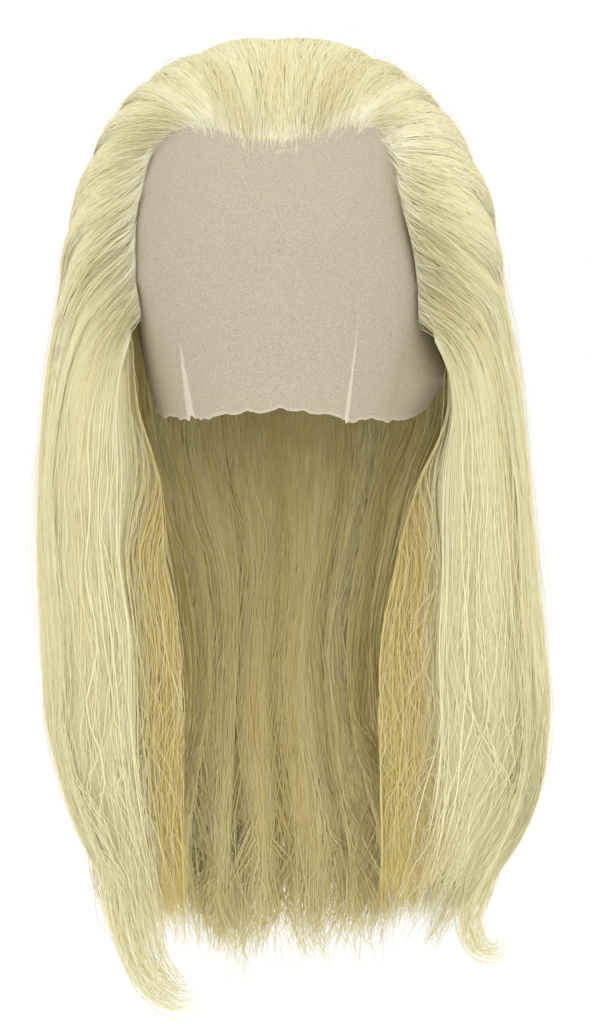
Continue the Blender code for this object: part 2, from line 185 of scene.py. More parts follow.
# The seam between the lace and the cap, and their lower edges.
SEAM_TOP_Y = 0.012
SEAM_LOW_Y = -0.014
SEAM_LOW_Z = -0.160
LACE_EDGE_Z = -0.160
EAR_EDGE_Z = -0.118
NAPE_EDGE_Z = -0.165

# Folds of the spare lace over the cheeks, and the tabs that stand off at the ears.
Pleat = namedtuple("Pleat", "azimuth lean top_z width height")
PLEATS = (
    Pleat(math.radians(-46), math.radians(4.5), -0.127, math.radians(6.5), 0.0006),
    Pleat(math.radians(30), 0.0, -0.118, math.radians(2.2), 0.0008),
)
PLEAT_RUN = 0.012
PLEAT_LENGTH = 0.038
TAB_FLARE_LEFT = 0.0050
TAB_FLARE_RIGHT = 0.018
TAB_HEIGHTS = (-0.170, -0.147, -0.114)
TAB_SHARES_LEFT = (1.0, 0.9, 0.0)
TAB_SHARES_RIGHT = (0.45, 1.0, 0.0)
TAB_POWER = 1.5
TAB_START = math.radians(58)
TAB_END = math.radians(80)
# How far the cut lower edge of the lace rises over the face, at these angles from its middle.
CUT_ANGLES = (-70, -50, -30, -15, 0, 12, 22, 30, 42, 55, 70)
CUT_RISES = (0.0, -0.0015, -0.0005, 0.0022, 0.0018, 0.0012, -0.0005, -0.0028, -0.0012, -0.0026, 0.0)

# The map of every piece, the tone kept with each point (the hair's own tone and painted shade), and
# how many columns of shades the map has.
UV_NAME = "OFBake"
TONE_NAME = "hair_tone_and_painted_shade"
SHADES = 64
# The map of the lace and cap in metres: the radius that it is unrolled from, its size and lowest point.
MAP_RADIUS = 0.085
MAP_WIDTH = 0.36
MAP_HEIGHT = 0.18
MAP_LOW_Z = -0.172

# The front of a curtain curves in from the outer wall at this share of the hairline, bulges forward
# by a further share, and goes on inwards to FRONT_DEPTH, where 1 is the outer wall and 0 the inner one.
FRONT_SHARE = 0.90
FRONT_BULGE = 0.095
FRONT_DEPTH = -0.6
# The hair's thickness there in metres, how far its strands lean, and how much longer they hang.
FRONT_THICKNESS = 0.045
FRONT_LEAN = 0.6
FRONT_LONGER = 0.014
# Where the front starts to hang straight down, over what drop, and how much further out it then lies.
HANG_START_Z = -0.150
HANG_DROP = 0.10
HANG_SHIFT = 0.38
# Over the left ear the front is tucked in, by this share of the thickness, between these heights.
TUCK = 0.26
TUCK_HEIGHTS = (-0.230, -0.175, -0.130, -0.110)
TUCK_SHARES = (0.0, 1.0, 1.0, 0.0)
# Streaks of deeper hair across the head: their spacing in columns of the field, and their tone.
STREAK_SPACING = 26
STREAK_TONE = 0.08
# Root hairs at the temples start up to about this far in front of the hairline, towards the face's
# middle, and come back to it over ROOT_RETURN. Their edge is uneven, and they vary in length.
ROOT_SPREAD = 0.0062
ROOT_RETURN = 0.016
FACE = (0.0, -0.095, -0.090)
ROOT_JAG = 0.0016
ROOT_AHEAD = 0.0036
ROOT_LENGTHS = (0.018, 0.065)
# Tones of the hair, from the palest (0) to the deepest (1): outside, then painted shade inside,
# where a curtain's front turns in, and there close to the neck.
OUTER_TONE = 0.08
INSIDE_PAINTED_SHADE = 0.52
GOLDEN_PAINTED_SHADE = 0.44
DEEP_PAINTED_SHADE = 0.74
# How far ribbons at the sides turn towards the front, in radians, and behind the ears to the back.
SIDE_TURN = 0.45
TURN_MIDDLE_Y = 0.050
TURN_REACH = 0.05
TURN_BACK = -0.7
# The body lies this far under the strands that cover it.
BODY_DEPTH = 0.0003
# The hair rises from the lace over about this length.
ROOT_RISE = 0.010
# Rows of a whole strand lie closer near its root, where the head curves: the range of that power.
ROW_POWERS = (1.15, 1.5)
# Wavelengths of the clumps, how much wavier stray strands are, and the sideways drift of strands.
CLUMP_WAVES = (0.08, 0.16)
STRAY_WAVES = 2.5
DRIFT = 0.0028
# How far clumps sweep aside at their tips, and over what length.
SWEEP = 0.009
SWEEP_LENGTH = 0.10


def smooth_table(at, levels, values):
    """A smooth curve through the values of a table, with its levels in rising order."""
    levels = np.asarray(levels)
    values = np.asarray(values)
    slopes = np.gradient(values, levels)
    at = np.clip(at, levels[0], levels[-1])
    row = np.clip(np.searchsorted(levels, at) - 1, 0, len(levels) - 2)
    width = levels[row + 1] - levels[row]
    u = (at - levels[row]) / width
    start = (1 + 2 * u) * (1 - u) ** 2 * values[row] + u * (1 - u) ** 2 * width * slopes[row]
    end = u * u * (3 - 2 * u) * values[row + 1] - u * u * (1 - u) * width * slopes[row + 1]
    return start + end


def half_sizes(shape, z):
    """Left, right, front and back half sizes at these heights."""
    levels = [level.z for level in reversed(shape)]
    columns = ("left", "right", "front", "back")
    return [smooth_table(z, levels, [getattr(row, c) for row in reversed(shape)]) for c in columns]


def on_form(points):
    """Moves points to the flow form: a unit half sphere that stands on a unit cylinder."""
    high = np.maximum(points[..., 2], 0.0)
    length = np.sqrt(points[..., 0] ** 2 + points[..., 1] ** 2 + high**2)
    across = points[..., :2] / length[..., None]
    return np.concatenate([across, np.minimum(points[..., 2:], high[..., None] / length[..., None])], -1)


def place(shape, height, squareness, form):
    """Real positions of flow form points on a shape."""
    high = np.maximum(form[..., 2], 0.0)
    size = (
        np.abs(form[..., 0]) ** squareness + np.abs(form[..., 1]) ** squareness + high**squareness
    ) ** (1 / squareness)
    z = BROW_Z + np.where(form[..., 2] > 0, height * high / size, DROP * form[..., 2])
    left, right, front, back = half_sizes(shape, np.minimum(z, BROW_Z))
    x = np.where(form[..., 0] < 0, left, right) * form[..., 0] / size
    y = np.where(form[..., 1] < 0, front, back) * form[..., 1] / size
    return np.stack([x, y, z], -1)


def hairline_form(shares):
    """Flow form points of the hairline at these shares of its length."""
    table = [row.share for row in HAIRLINE]
    x = smooth_table(shares, table, [row.x for row in HAIRLINE])
    z = smooth_table(shares, table, [row.z for row in HAIRLINE])
    left, right, _, _ = half_sizes(HEAD, np.minimum(z, BROW_Z))
    aside = x / np.where(x < 0, left, right)
    high = np.maximum(z - BROW_Z, 0) / HEAD_HEIGHT
    rest = 1 - np.abs(aside) ** HEAD_SQUARENESS - high**HEAD_SQUARENESS
    ahead = np.maximum(rest, 0.0) ** (1 / HEAD_SQUARENESS)
    low = np.minimum(z - BROW_Z, 0) / DROP
    return on_form(np.stack([aside, -ahead, high + low], -1))


def flow_lines(shares, tips_z, on_head, below):
    """Flow form points of the hair, from the roots at these shares down to the tips."""
    roots = hairline_form(shares)
    turned = math.pi - (math.pi - FRONT_AZIMUTH) * np.abs(shares) ** SPREAD_POWER
    azimuth = np.where(shares < 0, -turned, turned)
    fall_z = np.minimum(FALL_START, roots[:, 2] - FALL_BELOW_ROOT)
    falls = np.stack([np.sin(azimuth), -np.cos(azimuth), fall_z], -1)
    reach = np.linalg.norm(falls - roots, axis=1)[:, None]
    up = smooth_table(np.abs(shares), COMB_SHARES, COMB_UP)
    away = np.stack([COMB_ASIDE * roots[:, 0], np.full(len(roots), COMB_BACK), up], -1)
    away -= roots * np.sum(away * roots, axis=1)[:, None]
    away /= np.linalg.norm(away, axis=1)[:, None]
    leaving = roots + COMB_REACH * reach * away
    arriving = falls + np.array([0.0, 0.0, FALL_REACH]) * reach
    u = on_head[None, :, None]
    curve = (
        (1 - u) ** 3 * roots[:, None]
        + 3 * u * (1 - u) ** 2 * leaving[:, None]
        + 3 * u * u * (1 - u) * arriving[:, None]
        + u**3 * falls[:, None]
    )
    down = (1 - (1 - below) ** END_CROWDING)[None, :]
    ends = (tips_z - BROW_Z) / DROP
    under = np.repeat(falls[:, None], len(below), axis=1)
    under[..., 2] = fall_z[:, None] + (ends - fall_z)[:, None] * down
    lines = np.concatenate([on_form(curve), under], axis=1)
    depth = np.clip(-lines[..., 2] * DROP / WAVE_LENGTH, 0, None)
    turn = WAVE_ANGLE * np.minimum(depth, 1) * np.sin(math.tau * depth + WAVE_TURNS * shares[:, None])
    x = lines[..., 0] * np.cos(turn) - lines[..., 1] * np.sin(turn)
    y = lines[..., 0] * np.sin(turn) + lines[..., 1] * np.cos(turn)
    return np.stack([x, y, lines[..., 2]], -1)


# The walls of the hair, sampled once over the hairline and along the hair.
SPARE_LENGTH = 0.025
FIELD_COLUMNS = 1201
FIELD_ROWS = 60
Field = namedtuple("Field", "head near inside outside run breadth total notch")
# Ridges of the combed hair: their spacing in columns of the field, and their height.
Ridge = namedtuple("Ridge", "spacing height")
RIDGES = (Ridge(42, 0.00025), Ridge(14, 0.0001))
RIDGE_CHANGES = 5


def unit(vectors):
    return vectors / np.maximum(np.linalg.norm(vectors, axis=-1, keepdims=True), 1e-9)


def ease(values):
    values = np.clip(values, 0, 1)
    return values * values * (3 - 2 * values)


def noise_rows(rng, columns, spacing):
    """Smooth random values over columns, with about this many columns to each change."""
    knots = max(int(columns / spacing) + 3, 4)
    values = rng.normal(0, 1, knots)
    at = np.linspace(0, knots - 1.001, columns)
    i = at.astype(int)
    f = ease(at - i)
    return values[i] * (1 - f) + values[np.minimum(i + 1, knots - 1)] * f


def ridges(rng, columns, along):
    """Heights of the ridges over the columns, which change slowly along the hair."""
    height = np.zeros((columns, along.shape[1]))
    at = (RIDGE_CHANGES - 1) * along
    for ridge in RIDGES:
        for k in range(RIDGE_CHANGES):
            knot = noise_rows(rng, columns, ridge.spacing)[:, None]
            height += ridge.height * knot * ease(1 - np.abs(at - k))
    return height


def hair_field():
    """Points on the head, on the form inside the hair and on the hair's own walls, the distance
    along it from the root, the breadth that a whole share of the hairline has there, the length of
    the hair, and how much shorter it is between the locks."""
    shares = np.linspace(-1, 1, FIELD_COLUMNS)
    shape = np.zeros(FIELD_COLUMNS)
    longer = np.zeros(FIELD_COLUMNS)
    for section in SECTIONS:
        inside = (shares >= section.first) & (shares <= section.last)
        widths = np.cumsum([0.0] + [lock.width for lock in section.locks])
        along = (shares[inside] - section.first) / (section.last - section.first)
        step = np.interp(along, widths / widths[-1], np.arange(len(widths)))
        shape[inside] = np.abs(np.sin(math.pi * step)) ** RIDGE_POWER
        row = np.minimum(step.astype(int), len(section.locks) - 1)
        longer[inside] = np.array([lock.longer for lock in section.locks])[row]
    ends = (TIP_BACK_Z, TIP_BEHIND_EAR_Z, TIP_SIDE_Z, TIP_FRONT_Z)
    heights = smooth_table(np.abs(shares), TIP_SHARES, ends)
    tips_z = heights + NOTCH_DEPTH * (1 - shape) - longer * shape
    steps = np.linspace(0, 1, FIELD_ROWS)
    lines = flow_lines(shares, heights - SPARE_LENGTH, steps, steps[1:])
    outer = place(HAIR_OUTSIDE, HAIR_HEIGHT, HAIR_SQUARENESS, lines)
    inner = place(HAIR_INSIDE, HEAD_HEIGHT + HAIR_CLEARANCE, HEAD_SQUARENESS, lines)
    head = place(HEAD, HEAD_HEIGHT, HEAD_SQUARENESS, lines)
    run = np.cumsum(np.linalg.norm(np.diff(outer, axis=1, prepend=outer[:, :1]), axis=2), axis=1)
    full = 1 - (1 - ROOT_THICKNESS) * np.exp(-run / RISE_LENGTH)
    valleys = 1 - VALLEY_DEPTH * full * (1 - shape[:, None])
    from_edge = np.clip((1 - np.abs(shares)) / EDGE_WIDTH, 0, 1)[:, None]
    rounded = EDGE_THICKNESS + (1 - EDGE_THICKNESS) * np.sqrt(1 - (1 - from_edge) ** 2)
    total = np.array([np.interp(-tip, -z, along) for tip, z, along in zip(tips_z, outer[..., 2], run)])
    below = np.clip((run - total[:, None] + END_LENGTH) / END_LENGTH, 0, 1)
    thick = full * valleys * rounded * (1 - (1 - TIP_THICKNESS) * below**END_POWER)
    lower = np.clip((LEAVES_HEAD_Z - outer[..., 2]) / LEAVING_HEIGHT, 0, 1)
    start = lower * (1 - thick) * TIP_SIDE
    outside = inner + (outer - inner) * (start + thick)[..., None]
    inside = inner + (outer - inner) * start[..., None]
    room = np.linalg.norm(outside - inside, axis=2)
    height = ridges(np.random.default_rng(7), FIELD_COLUMNS, run / run[:, -1:])
    height *= np.clip(room / 0.012, 0, 1) * ease(run / 0.05)
    way = unit(outside - inside) * height[..., None]
    outside = outside + way
    inside = inside + way[::-1]
    breadth = np.linalg.norm(np.gradient(outer, shares, axis=0), axis=2)
    return Field(head, inner, inside, outside, run, breadth, total, NOTCH_DEPTH * (1 - shape))


FIELD = hair_field()
STEPS = 2 * FIELD_ROWS - 1
STREAKS = STREAK_TONE * np.abs(noise_rows(np.random.default_rng(11), FIELD_COLUMNS, STREAK_SPACING))


def sample(values, shares, rows):
    """Values of the field between its columns and rows."""
    x = np.clip((shares + 1) / 2, 0, 1) * (FIELD_COLUMNS - 1)
    y = np.clip(rows, 0, STEPS - 1)
    i = np.minimum(x.astype(int), FIELD_COLUMNS - 2)
    j = np.minimum(y.astype(int), STEPS - 2)
    fx = x - i
    fy = y - j
    if values.ndim == 3:
        fx = fx[..., None]
        fy = fy[..., None]
    low = values[i, j] * (1 - fy) + values[i, j + 1] * fy
    high = values[i + 1, j] * (1 - fy) + values[i + 1, j + 1] * fy
    return low * (1 - fx) + high * fx


def rows_at(shares, runs):
    """Row numbers of the field where the hair of each share has run this far."""
    column = np.rint(np.clip((shares + 1) / 2, 0, 1) * (FIELD_COLUMNS - 1)).astype(int)
    numbers = np.arange(STEPS)
    return np.array([np.interp(run, FIELD.run[c], numbers) for c, run in zip(column, runs)])


def over_shares(values, shares):
    """Values of the field's columns at these shares of the hairline."""
    return np.interp(shares, np.linspace(-1, 1, FIELD_COLUMNS), values)


def fast_mesh(name, points, quads, uv, tone):
    """A mesh from arrays of points, quads, and a map coordinate and a tone for each point."""
    mesh = bpy.data.meshes.new(name)
    mesh.vertices.add(len(points))
    mesh.vertices.foreach_set("co", points.astype(np.float32).ravel())
    mesh.loops.add(quads.size)
    mesh.loops.foreach_set("vertex_index", quads.astype(np.int32).ravel())
    mesh.polygons.add(len(quads))
    mesh.polygons.foreach_set("loop_start", np.arange(0, quads.size, 4, dtype=np.int32))
    layer = mesh.uv_layers.new(name=UV_NAME)
    layer.data.foreach_set("uv", uv[quads.ravel()].astype(np.float32).ravel())
    depth = mesh.attributes.new(TONE_NAME, "FLOAT", "POINT")
    depth.data.foreach_set("value", tone.astype(np.float32))
    mesh.update(calc_edges=True)
    mesh.validate()
    mesh.shade_smooth()
    return mesh


def piece(name, mesh, material):
    """A visible piece that goes with the wig's only body."""
    obj = bpy.data.objects.new(name, mesh)
    bpy.context.scene.collection.objects.link(obj)
    if not mesh.materials:
        mesh.materials.append(material)
    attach(obj, "root")
    return obj


# Strands are ribbons. Each belongs to a clump, which it meets towards its tip. raised is a typical
# height over the walls, period the length of a strand's own waves. stretch is how much of the length
# a strand covers: all of it (0), a part anywhere, or, below 0, a part at the tips. tone runs from 0,
# the palest hair, to 1, the deepest; the deeper tones inside and over a curtain's front are painted
# shade. deep and shallow are shares of the hair's thickness. The strands of a front lie over the
# front of a curtain, down to FRONT_DEPTH where the hair inside comes out.
Bunch = namedtuple(
    "Bunch",
    "first last count rows raised width clumps pull wave period stray stretch tone deep shallow front",
    defaults=(1, 1, False),
)


def front_share(depth):
    """How far forward the front of a curtain reaches at this depth, as a share of the hairline."""
    return FRONT_SHARE + FRONT_BULGE * np.sin(math.pi * np.clip(depth, 0, 1) ** 0.8)


def hanging(depth, z, sign):
    """Levels of the front of a curtain at these heights: its strands hang straight down from the ear
    while the form inside narrows towards the neck, so the inner ones come out below."""
    fall = ease((HANG_START_Z - z) / HANG_DROP)
    tuck = TUCK * (sign < 0) * ease((0.6 - depth) / 0.9) * np.interp(z, TUCK_HEIGHTS, TUCK_SHARES)
    return np.clip(1 - (1 - depth) * (1 - HANG_SHIFT * fall), 0, 1) - tuck


def front_painted_shade_tone(depth):
    """The tone of the front of a curtain: pale outside, with painted shade golden inwards and deep at the
    neck.
    """
    golden_shade = (GOLDEN_PAINTED_SHADE - OUTER_TONE) * ease((0.18 - depth) / 0.25)
    return OUTER_TONE + golden_shade + (DEEP_PAINTED_SHADE - GOLDEN_PAINTED_SHADE) * ease((0.0 - depth) / 0.30)


def ribbons(points, facing, widths, roll, shades, map_length=1.0):
    """Points, quads, map coordinates and tones of ribbons along these lines."""
    count, rows = points.shape[:2]
    along = unit(np.gradient(points, axis=1))
    side = unit(np.cross(along, facing))
    over = unit(np.cross(side, along))
    turn = SIDE_TURN * side[..., 1]
    roll = roll + turn * np.clip((TURN_MIDDLE_Y - points[..., 1]) / TURN_REACH, TURN_BACK, 1)
    across = side * np.cos(roll)[..., None] + over * np.sin(roll)[..., None]
    half = across * widths[..., None] / 2
    corners = np.stack([points - half, points + half], axis=2).reshape(-1, 3)
    index = np.arange(count * rows * 2).reshape(count, rows, 2)
    quads = np.stack(
        [index[:, :-1, 0], index[:, :-1, 1], index[:, 1:, 1], index[:, 1:, 0]], axis=-1
    ).reshape(-1, 4)
    left = (shades[:, None] + np.array([0.10, 0.90])) / SHADES
    u = np.broadcast_to(left[:, None, :], (count, rows, 2))
    v = np.broadcast_to(np.linspace(0.004, 0.996 * map_length, rows)[None, :, None], (count, rows, 2))
    tone = np.repeat((shades + 0.5) / SHADES, rows * 2)
    return corners, quads, np.stack([u, v], -1).reshape(-1, 2), tone


def shades_of(tone):
    """Columns of the map that hold these tones."""
    return np.clip(tone * SHADES, 0, SHADES - 1).astype(int)


def joined(parts):
    """Several sets of points, quads, map coordinates and tones as one."""
    starts = np.cumsum([0] + [len(part[0]) for part in parts])
    quads = np.concatenate([part[1] + start for part, start in zip(parts, starts)])
    points, uv, tone = (np.concatenate([part[k] for part in parts]) for k in (0, 2, 3))
    return points, quads, uv, tone


def strand_lines(rng, bunch, rows, begin, end, shares, depth):
    """Middle lines of strands that run between these distances from their roots, what their flat
    sides face, how far each point is from the root, and the tone of each strand."""
    count = len(shares)
    keys, least, most = shares, bunch.first, bunch.last
    if bunch.front:
        keys, least, most = depth, bunch.deep, bunch.shallow
    centres = np.sort(rng.uniform(least, most, bunch.clumps))
    spacing = (most - least) / bunch.clumps
    edges = (centres[1:] + centres[:-1]) / 2
    clump = np.searchsorted(edges, keys + rng.normal(0, 0.35 * spacing, count))
    sign = np.sign(bunch.first)
    if bunch.front:
        clump_depth = centres[clump]
    else:
        clump_depth = rng.uniform(bunch.deep, bunch.shallow, bunch.clumps)[clump]
        clump_share = centres[clump]
    total = over_shares(FIELD.total, shares)
    power = rng.uniform(*ROW_POWERS, (count, 1)) if bunch.stretch == 0 else 1.0
    runs = begin[:, None] + (end - begin)[:, None] * np.linspace(0, 1, rows)[None, :] ** power
    numbers = rows_at(shares, runs)
    pull = bunch.pull * ease((runs / total[:, None] - 0.15) / 0.85)
    loose = 0.25 * ease(runs / 0.06) + 0.75 * ease((runs - 0.06) / 0.30)
    stray = np.where(rng.random(count) < bunch.stray, STRAY_WAVES, 1.0)[:, None]
    phases = rng.uniform(0, math.tau, (2, bunch.clumps))[:, clump, None]
    lengths = rng.uniform(*CLUMP_WAVES, bunch.clumps)[clump, None]
    own_phases = rng.uniform(0, math.tau, (2, count, 1))
    own_lengths = bunch.period * rng.uniform(0.7, 1.5, (count, 1))
    turns = math.tau * runs / lengths
    own_turns = math.tau * runs / own_lengths
    aside = 0.8 * np.sin(turns + phases[0]) + 0.55 * stray * np.sin(own_turns + own_phases[0])
    out = 0.35 * np.sin(turns + phases[1]) + 0.20 * stray * np.sin(own_turns + own_phases[1])
    drift = rng.normal(0, DRIFT, (count, 1)) * ease(runs / 0.25)
    sweep = SWEEP * rng.normal(0, 1, bunch.clumps)[clump, None]
    sweep = sweep + 1.6 * bunch.wave * rng.normal(0, 1, (count, 1))
    tip = ease((runs - total[:, None] + SWEEP_LENGTH) / SWEEP_LENGTH) ** 2
    aside = bunch.wave * loose * aside + drift + sweep * tip
    breadth = sample(FIELD.breadth, np.broadcast_to(shares[:, None], numbers.shape), numbers)
    if bunch.front:
        level = depth[:, None] + (clump_depth - depth)[:, None] * pull + aside / FRONT_THICKNESS
        mixed = sign * front_share(level) + (shares - sign * front_share(depth))[:, None]
        low = sample(FIELD.near, mixed, numbers)
        level = hanging(level, low[..., 2], sign)
    else:
        level = depth[:, None] + (clump_depth - depth)[:, None] * pull * 0.7
        mixed = shares[:, None] + (clump_share - shares)[:, None] * pull + aside / breadth
        low = sample(FIELD.inside, mixed, numbers)
    high = sample(FIELD.outside, mixed, numbers)
    outward = unit(high - low)
    over = rng.exponential(1.0, (count, 1)) + (bunch.wave / 0.0036) * loose * np.maximum(out, 0)
    over = bunch.raised * over * ease((runs - begin[:, None]) / 0.03)
    points = low + (high - low) * level[..., None]
    if not bunch.front:
        points = points + outward * over[..., None]
    past_front = np.maximum(np.abs(mixed) - 1, 0) * breadth
    root = sample(FIELD.head, mixed, numbers)
    rise = 1 - np.exp(-np.maximum(runs, 0.0002) / ROOT_RISE)
    points = root + (points - root) * rise[..., None]
    first_way = unit(sample(FIELD.head, mixed[:, :1], numbers[:, :1] * 0 + 1) - root[:, :1])
    points = points + np.minimum(runs, 0)[..., None] * first_way
    points[..., 2] -= np.maximum(runs - over_shares(FIELD.run[:, -1], shares)[:, None], 0)
    side = unit(np.cross(unit(np.gradient(points, axis=1)), outward))
    ahead = side * -np.sign(side[..., 1:2])
    points = points + ahead * past_front[..., None]
    facing = outward
    if bunch.front:
        reach = np.where(rng.random((count, 1)) < 0.1, 0.0025, 0.0002)
        forward = np.minimum(reach * rng.exponential(1.0, (count, 1)), 0.012) * ease(runs / 0.14)
        lean = FRONT_LEAN * np.where(depth < 0, -ease(1 + depth / 0.15), 2 * depth - 1)
        facing = unit(outward * lean[:, None, None] + ahead)
        points = points + facing * (over * ease(runs / 0.03))[..., None] + ahead * forward[..., None]
    tone = bunch.tone + 0.06 * rng.normal(0, 1, bunch.clumps)[clump] + 0.03 * rng.normal(0, 1, count)
    tone = tone + over_shares(STREAKS, shares)
    # Painted shade over the front of a curtain: golden inwards, deep at the neck.
    if bunch.front:
        tone = tone + front_painted_shade_tone(depth) - OUTER_TONE
    return points, facing, runs, tone


def taper(runs, begin, end, start_share, start_length, tip_share, tip_length):
    """How wide strands are, as a share: they grow from their starts and narrow to their tips."""
    grown = np.clip(start_share + (runs - begin[:, None]) / start_length, 0, 1)
    return np.clip((end[:, None] - runs) / tip_length, tip_share, 1) * grown


def bunch_strands(rng, bunch):
    """The strands of one bunch, from near the hairline to the tips."""
    count, rows = bunch.count, bunch.rows
    if bunch.front:
        depth = rng.uniform(bunch.deep, bunch.shallow, count)
        shares = np.sign(bunch.first) * (front_share(depth) + rng.normal(0, 0.001, count))
    else:
        shares = np.sort(rng.uniform(bunch.first, bunch.last, count))
        depth = rng.uniform(bunch.deep, bunch.shallow, count)
    total = over_shares(FIELD.total, shares)
    tips = total + over_shares(FIELD.notch, shares) * rng.uniform(0.3, 1.0, count)
    tips = tips + FRONT_LONGER * bunch.front
    if bunch.stretch == 0:
        late = np.where(rng.random(count) < 0.5, 0, rng.uniform(0, 0.12, count))
        begin = np.abs(rng.normal(0, 0.006, count)) + late
        end = tips + 0.008 - 0.024 * rng.random(count)
    elif bunch.stretch > 0:
        begin = rng.uniform(0, 1, count) * (total - 0.4 * bunch.stretch)
        end = np.minimum(begin + bunch.stretch * rng.uniform(0.6, 1.4, count), tips)
    else:
        end = tips + np.minimum(0.010 + 0.012 * rng.normal(0, 1, count), 0.026)
        begin = end + bunch.stretch * rng.uniform(0.7, 1.3, count)
    points, facing, runs, tone = strand_lines(rng, bunch, rows, begin, end, shares, depth)
    shape = taper(runs, begin, end, 0.40, 0.04, 0.2, 0.030)
    widths = bunch.width * rng.uniform(0.6, 1.4, count)[:, None] * shape
    roll = rng.normal(0, 0.10, (count, 1)) + rng.normal(0, 0.12, (count, 1)) * runs / total[:, None]
    return ribbons(points, facing, widths, roll, shades_of(tone))


def root_hairs(rng, count, rows):
    """Fine short hairs along the hairline, rooted one by one in the lace."""
    shares = rng.uniform(-1, 1, count)
    jag = ROOT_JAG * np.interp(shares, np.linspace(-1, 1, 160), rng.normal(0, 1, 160))
    begin = jag - np.abs(rng.normal(0, ROOT_AHEAD, count))
    end = begin + rng.uniform(*ROOT_LENGTHS, count)
    bunch = Bunch(-1, 1, count, rows, 0.0002, 0.00023, 90, 0, 0, 0.1, 0, 0, 0.10, 0.45, 1)
    depth = rng.uniform(bunch.deep, bunch.shallow, count)
    points, facing, runs, tone = strand_lines(rng, bunch, rows, begin, end, shares, depth)
    root = sample(FIELD.head, shares, np.zeros(count))
    beside = sample(FIELD.head, shares + np.where(shares < 0, 0.004, -0.004), np.zeros(count))
    inward = unit(np.cross(beside - root, facing[:, 0]))
    inward = inward * np.sign(np.sum(inward * (np.array(FACE) - root), axis=1))[:, None]
    spread = np.abs(rng.normal(0, ROOT_SPREAD, (count, 1)))
    spread = spread * np.exp((begin[:, None] - runs) / ROOT_RETURN)
    spread = spread * ease((np.abs(shares[:, None]) - 0.50) / 0.12)
    points = points + inward[:, None, :] * spread[..., None]
    side = unit(np.cross(unit(np.gradient(points, axis=1)), facing))
    lean = np.tan(rng.normal(0, 0.20, (count, 1))) * (runs - begin[:, None])
    curve = rng.normal(0, 1.6, (count, 1)) * (runs - begin[:, None]) ** 2
    points = points + side * (lean + curve)[..., None]
    shape = taper(runs, begin, end, 0.4, 0.006, 0.3, 0.02)
    widths = bunch.width * rng.uniform(0.6, 1.3, count)[:, None] * shape
    roll = rng.normal(0, 0.3, (count, 1)) + 0 * runs
    return ribbons(points, facing, widths, roll, shades_of(tone), 0.12)


def flying_hairs(rng, count, rows):
    """Single hairs that stand a little off the outline."""
    shares = rng.uniform(-1, 1, count)
    total = over_shares(FIELD.total, shares)
    begin = (total - 0.06) * rng.random(count)
    end = np.minimum(begin + rng.uniform(0.05, 0.20, count), total + 0.010)
    bunch = Bunch(-1, 1, count, rows, 0.0006, 0.00014, 200, 0, 0.0024, 0.06, 0.3, 0, 0.10)
    depth = np.ones(count)
    points, facing, runs, tone = strand_lines(rng, bunch, rows, begin, end, shares, depth)
    grown = ease((runs - begin[:, None]) / 0.05)
    off = np.minimum(rng.exponential(0.0018, (count, 1)), 0.008) * grown
    points = points + facing * off[..., None]
    shape = taper(runs, begin, end, 0.2, 0.02, 0.3, 0.04)
    widths = bunch.width * rng.uniform(0.7, 1.3, count)[:, None] * shape
    roll = rng.normal(0, 0.5, (count, 1)) + 0 * runs
    return ribbons(points, facing, widths, roll, shades_of(tone))


def curl_strands(rng, curl, rows):
    """The strands of one free end, wound loosely round its middle line."""
    steps = np.arange(len(curl.points))
    count = curl.count
    begin = rng.uniform(0.0, 0.25, count)[:, None]
    end = (1.0 - 0.50 * rng.random(count) ** 1.3)[:, None]
    at = begin + (end - begin) * np.linspace(0, 1, rows)[None, :]
    place_at = at * (len(steps) - 1)
    middle = np.stack([smooth_table(place_at, steps, column) for column in zip(*curl.points)], -1)
    along = unit(np.gradient(middle, axis=1))
    side = unit(np.cross(along, np.array([0.0, 1.0, 0.0])))
    over = unit(np.cross(side, along))
    radius = curl.radius * (1 - (1 - CURL_TIP) * at**CURL_TAPER) * 1.25
    away = np.sqrt(rng.random(count))[:, None]
    angle = rng.uniform(0, math.tau, count)[:, None] + rng.normal(0, 0.9, count)[:, None] * at
    frizz = rng.uniform(0, CURL_FRIZZ, (count, 1)) * np.sin(
        rng.uniform(5, 14, (count, 1)) * at + rng.uniform(0, math.tau, (count, 1))
    )
    offset = side * (np.cos(angle) * away * radius + frizz * at)[..., None]
    offset = offset + over * (np.sin(angle) * away * radius)[..., None]
    widths = CURL_WIDTH * rng.uniform(0.6, 1.4, count)[:, None] * np.clip((end - at) / 0.25, 0.15, 1)
    roll = rng.normal(0, 0.5, count)[:, None] + 0 * at
    facing = unit(np.array([0.0, -1.0, 0.0]) + 0.6 * unit(offset))
    tone = curl.tone + 0.08 * rng.normal(0, 1, count)
    return ribbons(middle + offset, facing, widths, roll, shades_of(tone))


# The course round a section's body: share of the hairline, level between the walls, how far the inner
# side has left the form inside the hair for the hair's own inner wall, and tone, with painted shade
# over the front and on the inner wall.
Course = namedtuple("Course", "shares levels apart tones")


